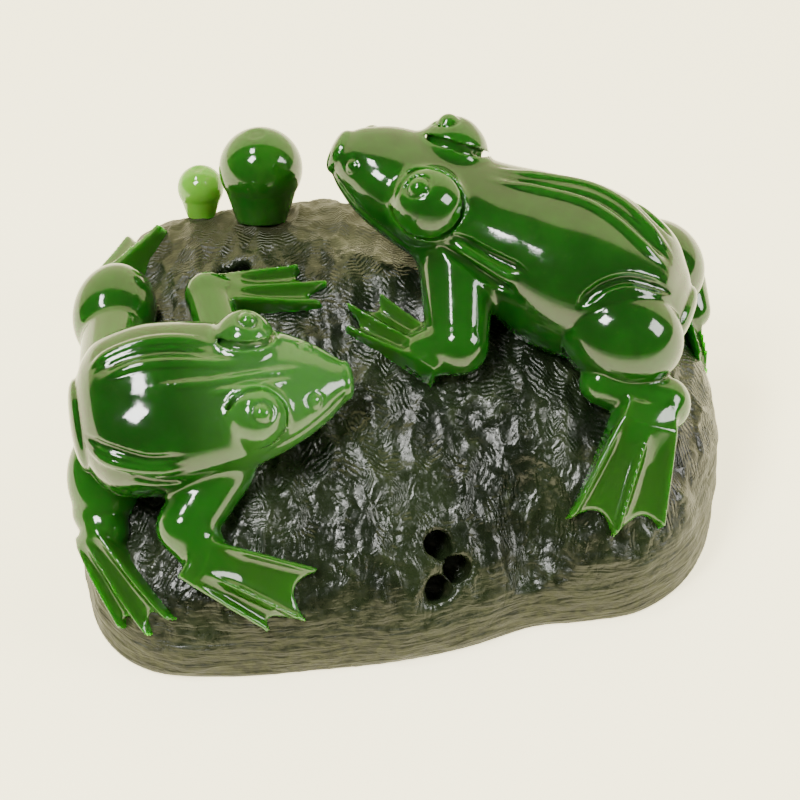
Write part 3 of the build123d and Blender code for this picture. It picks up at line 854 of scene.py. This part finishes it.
def noise(tree, place, scale, detail=2.0, **more):
    """Soft random clouds."""
    return add_node(tree, "ShaderNodeTexNoise", {"Vector": place, "Scale": scale, "Detail": detail, **more})


def cell_noise(tree, place, scale, randomness):
    """Random cells, each with its own spot."""
    return add_node(tree, "ShaderNodeTexVoronoi",
                    {"Vector": place, "Scale": scale, "Randomness": randomness}, feature="F1").outputs


def bump(tree, height, strength, distance):
    """A normal tilted by a height."""
    return add_node(tree, "ShaderNodeBump",
                    {"Height": height, "Strength": strength, "Distance": distance}).outputs[0]


def ease(tree, value, low, high, to_low=0.0, to_high=1.0):
    """A smooth step from one value to another."""
    made = add_node(tree, "ShaderNodeMapRange", {"Value": value, "From Min": low, "From Max": high,
                                                 "To Min": to_low, "To Max": to_high},
                    interpolation_type="SMOOTHSTEP")
    return made.outputs["Result"]


def blend_colors(tree, factor, a, b):
    """One colour fading into another."""
    made = add_node(tree, "ShaderNodeMix", {0: factor}, data_type="RGBA")
    for key, value in ((6, a), (7, b)):
        if isinstance(value, bpy.types.NodeSocket):
            tree.links.new(value, made.inputs[key])
        else:
            made.inputs[key].default_value = (*value, 1)
    return made.outputs[2]


def node_group(name, inputs):
    """An empty geometry tree with named inputs after the geometry."""
    tree = bpy.data.node_groups.new(name, "GeometryNodeTree")
    face = tree.interface
    face.new_socket("Geometry", in_out="INPUT", socket_type="NodeSocketGeometry")
    for label, kind, value in inputs:
        face.new_socket(label, in_out="INPUT", socket_type=kind).default_value = value
    face.new_socket("Geometry", in_out="OUTPUT", socket_type="NodeSocketGeometry")
    return tree, tree.nodes.new("NodeGroupInput").outputs, tree.nodes.new("NodeGroupOutput").inputs


def finish_group(tree, geometry, material, result):
    """Realizes a geometry tree's result and gives it its material."""
    real = add_node(tree, "GeometryNodeRealizeInstances", {"Geometry": geometry})
    dressed = add_node(tree, "GeometryNodeSetMaterial", {"Geometry": real.outputs[0], "Material": material})
    tree.links.new(dressed.outputs[0], result["Geometry"])


def use_group(piece, tree, values):
    """Puts a geometry tree on a piece with the inputs set, then keeps the mesh it makes."""
    modifier = piece.modifiers.new(tree.name, "NODES")
    modifier.node_group = tree
    for item in tree.interface.items_tree:
        if item.in_out == "INPUT" and item.name in values:
            modifier[item.identifier] = values[item.name]
    settle_modifier(piece, modifier)


# ================================================================ chiselled surface
def chisel_tree(material):
    """Moves a surface in and out as if it had been cut with many small gouges."""
    tree, given, result = node_group("chiselled surface", [
        ("Gouge Depth", "NodeSocketFloat", 0.4), ("Gouge Width", "NodeSocketFloat", 1.2),
        ("Gouge Length", "NodeSocketFloat", 2.6), ("Wall Ridge", "NodeSocketFloat", 0.3),
        ("Swell", "NodeSocketFloat", 1.3), ("Seed", "NodeSocketFloat", 3.0)])
    position = add_node(tree, "GeometryNodeInputPosition").outputs[0]
    normal = add_node(tree, "GeometryNodeInputNormal").outputs[0]
    place = scaled(tree, position, 1 / MM)
    seeded = vector_calc(tree, "ADD", place, from_xyz(tree, given["Seed"], given["Seed"], given["Seed"]))
    # Slow clouds bend the cuts, so that no row of them runs straight.
    warp = vector_calc(tree, "SUBTRACT", noise(tree, seeded, 0.22).outputs["Color"], (0.5, 0.5, 0.5))
    bent = vector_calc(tree, "ADD", seeded, scaled(tree, warp, 3.2))
    # On top: long gouge cells with smaller ones in them.
    across = calc(tree, "DIVIDE", 1.0, given["Gouge Width"])
    along = calc(tree, "DIVIDE", 1.0, given["Gouge Length"])
    cells = vector_calc(tree, "MULTIPLY", bent, from_xyz(tree, across, along, along))
    gouge = calc(tree, "POWER", cell_noise(tree, cells, 1.0, 0.95)["Distance"], 1.6)
    small = cell_noise(tree, cells, 2.1, 1.0)["Distance"]
    top = plus(tree, gouge, times(tree, small, 0.2))
    top = times(tree, less(tree, top, 0.55), given["Gouge Depth"])
    # On the walls: level courses that run round the boulder.
    bent_x, bent_y, bent_z = split_xyz(tree, bent)
    round_about = calc(tree, "ARCTAN2", bent_y, bent_x)
    course = from_xyz(tree, times(tree, round_about, 8.0), times(tree, bent_z, 1.15), 0.0)
    ledge = cell_noise(tree, course, 1.0, 0.9)["Distance"]
    wall = times(tree, less(tree, ledge, 0.4), given["Wall Ridge"])
    steep = ease(tree, split_xyz(tree, normal)[2], 0.25, 0.6, 1.0, 0.0)
    cut = plus(tree, times(tree, wall, steep), times(tree, top, less(tree, 1.0, steep)))
    swell = times(tree, less(tree, noise(tree, seeded, 0.13, 1.5).outputs[0], 0.5), given["Swell"])
    # The foot of the boulder stays as it is, flat on the ground.
    off_ground = ease(tree, split_xyz(tree, place)[2], 0.05, 1.2)
    height = times(tree, plus(tree, cut, swell), off_ground)
    push = scaled(tree, normal, times(tree, height, MM))
    moved = add_node(tree, "GeometryNodeSetPosition", {"Geometry": given["Geometry"], "Offset": push})
    kept = add_node(tree, "GeometryNodeStoreNamedAttribute",
                    {"Geometry": moved.outputs[0], "Name": "cut", "Value": cut}, data_type="FLOAT",
                    domain="POINT")
    finish_group(tree, kept.outputs[0], material, result)
    return tree


# ================================================================ turned bead
def bead_tree(material):
    """A ball drawn in to a short foot, turned from a profile."""
    tree, given, result = node_group("turned bead", [
        ("Radius", "NodeSocketFloat", 4.3), ("Neck Radius", "NodeSocketFloat", 2.5),
        ("Foot Length", "NodeSocketFloat", 2.0), ("Flare", "NodeSocketFloat", 1.0),
        ("Dimple", "NodeSocketFloat", 0.15), ("Dimple Towards", "NodeSocketVector", (0, 0, 1)),
        ("Centre", "NodeSocketVector", (0, 0, 0)), ("Lean", "NodeSocketFloat", 0.5)])
    grid = add_node(tree, "GeometryNodeMeshGrid", {"Size X": 1.0, "Size Y": 1.0, "Vertices X": 129,
                                                   "Vertices Y": 121})
    grid_x, grid_y, _ = split_xyz(tree, add_node(tree, "GeometryNodeInputPosition").outputs[0])
    turn = times(tree, grid_x, math.tau)
    # The way down the profile: three quarters on the ball, a fifth down the foot, the rest closes it.
    down = plus(tree, grid_y, 0.5)
    neck_share = calc(tree, "DIVIDE", given["Neck Radius"], given["Radius"])
    neck_angle = less(tree, math.pi, calc(tree, "ARCSINE", neck_share))
    on_ball = times(tree, calc(tree, "MINIMUM", calc(tree, "DIVIDE", down, 0.75), 1.0), neck_angle)
    foot = calc(tree, "DIVIDE", less(tree, down, 0.75), 0.2, clamp=True)
    closed = calc(tree, "DIVIDE", less(tree, down, 0.95), 0.05, clamp=True)
    out = plus(tree, times(tree, calc(tree, "SINE", on_ball), given["Radius"]),
               times(tree, foot, given["Flare"]))
    out = times(tree, out, less(tree, 1.0, closed))
    high = less(tree, times(tree, calc(tree, "COSINE", on_ball), given["Radius"]),
                times(tree, foot, given["Foot Length"]))
    shape = from_xyz(tree, times(tree, out, calc(tree, "COSINE", turn)),
                     times(tree, out, calc(tree, "SINE", turn)), high)
    leaned = add_node(tree, "ShaderNodeVectorRotate", {"Vector": shape, "Angle": given["Lean"]},
                      rotation_type="X_AXIS").outputs[0]
    # A small flat pressed in near the top.
    toward = vector_calc(tree, "NORMALIZE", given["Dimple Towards"])
    aim = vector_calc(tree, "DISTANCE", vector_calc(tree, "NORMALIZE", leaned), toward)
    fall = calc(tree, "POWER", calc(tree, "DIVIDE", aim, 0.22), 4.0)
    dimple = times(tree, calc(tree, "EXPONENT", times(tree, fall, -1.0)), given["Dimple"])
    sunk = scaled(tree, leaned, less(tree, 1.0, calc(tree, "DIVIDE", dimple, given["Radius"])))
    final = scaled(tree, vector_calc(tree, "ADD", sunk, given["Centre"]), MM)
    moved = add_node(tree, "GeometryNodeSetPosition", {"Geometry": grid.outputs[0], "Position": final})
    joined = add_node(tree, "GeometryNodeMergeByDistance", {"Geometry": moved.outputs[0], "Distance": 1e-6})
    outward = add_node(tree, "GeometryNodeFlipFaces", {"Mesh": joined.outputs[0]})
    smooth = add_node(tree, "GeometryNodeSetShadeSmooth", {"Geometry": outward.outputs[0],
                                                           "Shade Smooth": True})
    finish_group(tree, smooth.outputs[0], material, result)
    return tree


# ================================================================ materials
def new_material(name):
    """A material, its tree and its main shader."""
    material = bpy.data.materials.new(name)
    material.use_nodes = True
    tree = material.node_tree
    return material, tree, tree.nodes["Principled BSDF"]


def object_place(tree):
    """Place on the object in millimetres."""
    return scaled(tree, add_node(tree, "ShaderNodeTexCoord").outputs["Object"], 1 / MM)


def attribute(tree, name):
    """A number stored on the mesh."""
    return add_node(tree, "ShaderNodeAttribute", attribute_name=name).outputs["Fac"]


def green_stone(name, deep, bright, edge, thick_mark=True):
    """Translucent polished stone: deep green where thick, faintly clouded, and painted lighter and yellower
    where thin, standing in for light shining through the thin stone.
    """
    material, tree, shader = new_material(name)
    place = object_place(tree)
    cloud = noise(tree, place, 0.16, 3.0, Roughness=0.55).outputs[0]
    color = blend_colors(tree, ease(tree, cloud, 0.35, 0.68, 0.0, 0.6), deep, bright)
    if thick_mark:
        # Painted glow: lighter green where the stone is thinner and yellower green at thin edges, standing
        # in for light shining through it.
        thick = attribute(tree, "thick")
        color = blend_colors(tree, ease(tree, thick, 0.55, 0.92, 1.0, 0.0), color, bright)
        color = blend_colors(tree, ease(tree, thick, 0.12, 0.55, 0.75, 0.0), color, edge)
        # Painted paler green round the left frog's head: partly the stone's paler tone, partly light
        # shining through the thinner stone.
        from_head = vector_calc(tree, "DISTANCE", place, tuple(PALE_GLOW_FROM + SHIFT / MM))
        color = blend_colors(tree, ease(tree, from_head, 3.0, 12.5, 0.75, 0.0), color, PALE_GLOW_GREEN)
    fleck = noise(tree, place, 1.1, 4.0).outputs[0]
    color = blend_colors(tree, ease(tree, fleck, 0.62, 0.8, 0.0, 0.25), color, edge)
    tree.links.new(color, shader.inputs["Base Color"])
    tree.links.new(ease(tree, fleck, 0.3, 0.75, 0.05, 0.13), shader.inputs["Roughness"])
    shader.inputs["IOR"].default_value = 1.62
    shader.inputs["Subsurface Weight"].default_value = 1.0
    shader.inputs["Subsurface Radius"].default_value = (0.35, 1.0, 0.2)
    shader.inputs["Subsurface Scale"].default_value = 0.0022
    grain = noise(tree, place, 2.2, 3.0).outputs[0]
    tree.links.new(bump(tree, grain, 0.05, 0.0001), shader.inputs["Normal"])
    return material


def chatter(tree, place, grain):
    """Fine parallel ripples that a tool leaves, turned another way in every cell."""
    cells = vector_calc(tree, "MULTIPLY", place, (0.75, 0.38, 0.38))
    color = cell_noise(tree, cells, 1.0, 0.95)["Color"]
    lot = add_node(tree, "ShaderNodeSeparateColor", {0: color}).outputs
    turn = times(tree, less(tree, lot[0], 0.5), 1.8)
    aim = from_xyz(tree, calc(tree, "SINE", turn), calc(tree, "COSINE", turn), -0.6)
    phase = plus(tree, times(tree, vector_calc(tree, "DOT_PRODUCT", place, aim), 15.0),
                 times(tree, plus(tree, lot[1], grain), 7.0))
    return times(tree, calc(tree, "SINE", phase), ease(tree, lot[2], 0.3, 0.6, 0.03, 0.16))


def dark_stone():
    """Dark boulder: wet black green on top, olive and duller on the walls and the back."""
    material, tree, shader = new_material("dark_stone")
    place = object_place(tree)
    _, place_y, place_z = split_xyz(tree, place)
    facing = split_xyz(tree, add_node(tree, "ShaderNodeNewGeometry").outputs["Normal"])[2]
    patch = noise(tree, place, 0.12, 4.0).outputs[0]
    grain = noise(tree, place, 1.4, 5.0).outputs[0]
    low = ease(tree, plus(tree, place_z, times(tree, patch, 8.0)), 5.5, 15.5, 1.0, 0.0)
    wall = times(tree, low, ease(tree, facing, 0.35, 0.85, 1.0, 0.0))
    back = ease(tree, plus(tree, place_y, times(tree, patch, 9.0)), 15.0, 24.0)
    top = blend_colors(tree, ease(tree, patch, 0.4, 0.65), BLACK_GREEN, WET_GREEN)
    top = blend_colors(tree, ease(tree, attribute(tree, "cut"), 0.05, 0.3), top, RIDGE_GREEN)
    side = blend_colors(tree, ease(tree, grain, 0.35, 0.7), DEEP_OLIVE, OLIVE)
    color = blend_colors(tree, wall, top, side)
    color = blend_colors(tree, times(tree, back, 0.75), color, BROWN_OLIVE)
    tree.links.new(color, shader.inputs["Base Color"])
    dull = times(tree, plus(tree, wall, back), 0.5)
    tree.links.new(ease(tree, plus(tree, grain, dull), 0.3, 1.1, 0.2, 0.55), shader.inputs["Roughness"])
    shader.inputs["IOR"].default_value = 1.47
    bedding = vector_calc(tree, "MULTIPLY", place, (0.2, 0.2, 1.5))
    layers = noise(tree, bedding, 1.0, 3.0, Distortion=0.6).outputs[0]
    ripple = times(tree, less(tree, 1.0, wall), chatter(tree, place, grain))
    rough = plus(tree, times(tree, grain, 0.6), times(tree, times(tree, layers, 3.0), wall))
    tree.links.new(bump(tree, plus(tree, ripple, rough), 0.7, 0.0003), shader.inputs["Normal"])
    return material


def brass():
    """Drawn metal of the hidden dowel pins."""
    material, tree, shader = new_material("pin_metal")
    drawn = vector_calc(tree, "MULTIPLY", object_place(tree), (9.0, 9.0, 0.5))
    streak = noise(tree, drawn, 1.0).outputs[0]
    color = blend_colors(tree, streak, *BRASS_SHADES)
    tree.links.new(color, shader.inputs["Base Color"])
    tree.links.new(ease(tree, streak, 0.2, 0.8, 0.25, 0.45), shader.inputs["Roughness"])
    shader.inputs["Metallic"].default_value = 1.0
    return material


def paper():
    """Cream paper that glows a little, with painted shade that darkens it far in front of the carving."""
    material, tree, shader = new_material("paper")
    place = object_place(tree)
    patch = noise(tree, place, 0.02).outputs[0]
    color = blend_colors(tree, patch, *PAPER_SHADES)
    # Painted shade: the paper darkens far in front, so that the frogs' lower sides reflect it dark.
    behind = ease(tree, split_xyz(tree, place)[1], -170.0, -45.0)
    tree.links.new(blend_colors(tree, behind, FAR_PAPER_SHADE, color), shader.inputs["Base Color"])
    tree.links.new(blend_colors(tree, behind, FAR_GLOW, color), shader.inputs["Emission Color"])
    shader.inputs["Emission Strength"].default_value = 2.4
    shader.inputs["Roughness"].default_value = 0.75
    fibre = noise(tree, place, 0.8, 5.0).outputs[0]
    tree.links.new(bump(tree, fibre, 0.15, 0.0001), shader.inputs["Normal"])
    return material


# ================================================================ stage
def soft_box(name, toward, width, height, power, color, target):
    """A window of light that faces the target."""
    light = bpy.data.lights.new(name, "AREA")
    light.shape = "RECTANGLE"
    light.size = width
    light.size_y = height
    light.energy = power
    light.color = color
    lamp = bpy.data.objects.new(name, light)
    direction = Vector(toward).normalized()
    lamp.location = target + direction * LIGHT_DISTANCE
    lamp.rotation_euler = (-direction).to_track_quat("-Z", "Y").to_euler()
    bpy.context.scene.collection.objects.link(lamp)


def lay_paper():
    """The paper under the carving."""
    mesh = bpy.data.meshes.new("floor")
    mesh.from_pydata([(-1, -1, 0), (1, -1, 0), (1, 1.5, 0), (-1, 1.5, 0)], [], [(0, 1, 2, 3)])
    floor = bpy.data.objects.new("floor", mesh)
    bpy.context.scene.collection.objects.link(floor)
    floor.data.materials.append(paper())


def light_room():
    """A dim room with a bright wall behind the carving."""
    world = bpy.data.worlds.new("room")
    bpy.context.scene.world = world
    world.use_nodes = True
    tree = world.node_tree
    toward = split_xyz(tree, add_node(tree, "ShaderNodeTexCoord").outputs["Generated"])
    shade = blend_colors(tree, ease(tree, toward[1], 0.31, 0.40), DIM_ROOM, BRIGHT_WALL)
    tree.links.new(shade, tree.nodes["Background"].inputs[0])


def set_camera(target):
    """A long lens that looks down at the carving from the front."""
    lens = bpy.data.cameras.new("camera")
    lens.lens = CAMERA_LENS
    lens.sensor_width = 36
    lens.clip_end = 10
    camera = bpy.data.objects.new("camera", lens)
    look = Vector((0, math.cos(CAMERA_ELEVATION), -math.sin(CAMERA_ELEVATION)))
    camera.location = target - look * CAMERA_DISTANCE
    camera.rotation_euler = look.to_track_quat("-Z", "Y").to_euler()
    bpy.context.scene.collection.objects.link(camera)
    bpy.context.scene.camera = camera


# ================================================================ operators
class CarvingLooks(bpy.types.PropertyGroup):
    """Colours of the stone and depths of the tool marks"""
    deep_green: bpy.props.FloatVectorProperty(
        name="Deep Green", description="Colour of the bright stone where it is thick",
        subtype="COLOR", size=3, min=0, max=1, default=(0.005, 0.050, 0.0035))
    # Bright Green is also painted where the stone is thinner, standing in for light shining through it.
    bright_green: bpy.props.FloatVectorProperty(
        name="Bright Green", description="Colour of the clouds in the bright stone",
        subtype="COLOR", size=3, min=0, max=1, default=(0.011, 0.098, 0.006))
    # Edge Green is painted at the stone's thin edges, standing in for light shining through it, and it also
    # colours the flecks.
    thin_glow_and_fleck_green: bpy.props.FloatVectorProperty(
        name="Edge Green", description="Colour of the bright stone where it is thin",
        subtype="COLOR", size=3, min=0, max=1, default=(0.023, 0.096, 0.009))
    gouge_depth: bpy.props.FloatProperty(
        name="Gouge Depth", description="Depth of the tool marks on the boulder",
        unit="LENGTH", default=0.0007, min=0, max=0.001)
    gouge_width: bpy.props.FloatProperty(
        name="Gouge Width", description="Width of the tool marks on the boulder",
        unit="LENGTH", default=0.0019, min=0.0004, max=0.005)
    gouge_length: bpy.props.FloatProperty(
        name="Gouge Length", description="Length of the tool marks on the boulder",
        unit="LENGTH", default=0.0034, min=0.0004, max=0.01)
    bead_dimple: bpy.props.FloatProperty(
        name="Bead Dimple", description="Depth of the small flat near the top of each bead",
        unit="LENGTH", default=0.00016, min=0, max=0.001)


def keep_piece(piece, node):
    """Puts a piece in the place of its CAD node."""
    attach(piece, "root")
    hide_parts(node)


class CARVING_OT_boulder(bpy.types.Operator):
    """Carve the dark boulder and chisel its surface"""
    bl_idname = "carving.boulder"
    bl_label = "Carve Boulder"

    def execute(self, context):
        looks = context.scene.carving_looks
        clay = shape_boulder(BOULDER_CELL)
        piece = plain_mesh("boulder", *clay.skin())
        use_group(piece, chisel_tree(dark_stone()), {
            "Gouge Depth": looks.gouge_depth / MM, "Gouge Width": looks.gouge_width / MM,
            "Gouge Length": looks.gouge_length / MM})
        keep_piece(piece, "rock_base")
        return {"FINISHED"}


class CARVING_OT_frogs(bpy.types.Operator):
    """Carve the two frogs"""
    bl_idname = "carving.frogs"
    bl_label = "Carve Frogs"

    def execute(self, context):
        looks = context.scene.carving_looks
        cell = FROG_CELL
        material = green_stone("green_stone", looks.deep_green, looks.bright_green, looks.thin_glow_and_fleck_green)
        for name, node, shape in (("frog_left", "left_frog", shape_left_frog),
                                  ("frog_right", "right_frog", shape_right_frog)):
            clay = shape(cell)
            points, quads = clay.skin()
            piece = plain_mesh(name, points, quads, {"thick": thickness(clay, points)})
            piece.data.materials.append(material)
            keep_piece(piece, node)
        return {"FINISHED"}


class CARVING_OT_beads(bpy.types.Operator):
    """Turn the two beads"""
    bl_idname = "carving.beads"
    bl_label = "Turn Beads"

    def execute(self, context):
        looks = context.scene.carving_looks
        large_colors = (looks.bright_green, BEAD_GREEN, looks.thin_glow_and_fleck_green)
        for name, node, slot, colors in (
                ("bead_large", "large_bead", "green_stone", large_colors),
                ("bead_small", "small_bead", "pale_green_stone", SMALL_BEAD_GREENS)):
            material = green_stone(name + "_stone", *colors, thick_mark=False)
            low, high = (np.array(corner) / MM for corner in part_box(node))
            radius = (high[0] - low[0]) / 2
            centre = ((low[0] + high[0]) / 2, high[1] - radius, high[2] - radius)
            piece = bpy.data.objects.new(name, bpy.data.meshes.new(name))
            context.scene.collection.objects.link(piece)
            use_group(piece, bead_tree(material), {
                "Radius": radius, "Neck Radius": radius * BEAD_NECK, "Foot Length": radius * BEAD_FOOT,
                "Flare": radius * BEAD_FLARE, "Dimple": looks.bead_dimple / MM, "Lean": -BEAD_LEAN,
                "Dimple Towards": DIMPLE_TOWARDS, "Centre": centre})
            keep_piece(piece, node)
        return {"FINISHED"}


class CARVING_OT_pins(bpy.types.Operator):
    """Give the hidden dowel pins their metal"""
    bl_idname = "carving.pins"
    bl_label = "Finish Pins"

    def execute(self, context):
        metal = brass()
        for name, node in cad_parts.items():
            if name.endswith("_pin"):
                node.data.materials.clear()
                node.data.materials.append(metal)
        return {"FINISHED"}


class CARVING_OT_stage(bpy.types.Operator):
    """Lay the paper, the lights and the camera"""
    bl_idname = "carving.stage"
    bl_label = "Lay Stage"

    def execute(self, context):
        target = Vector((SHIFT[0], SHIFT[1], LOOK_HEIGHT))
        lay_paper()
        for light in LIGHTS:
            soft_box(*light, target)
        light_room()
        set_camera(target)
        return {"FINISHED"}


class CARVING_PT_panel(bpy.types.Panel):
    """Looks and steps of the carving"""
    bl_label = "Carving"
    bl_idname = "CARVING_PT_panel"
    bl_space_type = "VIEW_3D"
    bl_region_type = "UI"
    bl_category = "Carving"

    def draw(self, context):
        looks = context.scene.carving_looks
        for name in CarvingLooks.__annotations__:
            self.layout.prop(looks, name)
        for step in STEPS:
            self.layout.operator(step.bl_idname)


STEPS = (CARVING_OT_boulder, CARVING_OT_frogs, CARVING_OT_beads, CARVING_OT_pins, CARVING_OT_stage)


def register():
    for part in (CarvingLooks, *STEPS, CARVING_PT_panel):
        bpy.utils.register_class(part)
    bpy.types.Scene.carving_looks = bpy.props.PointerProperty(type=CarvingLooks)


def unregister():
    del bpy.types.Scene.carving_looks
    for part in (CARVING_PT_panel, *reversed(STEPS), CarvingLooks):
        bpy.utils.unregister_class(part)


def main():
    register()
    bpy.ops.carving.boulder()
    bpy.ops.carving.frogs()
    bpy.ops.carving.beads()
    bpy.ops.carving.pins()
    bpy.ops.carving.stage()


if __name__ == "__main__":
    main()
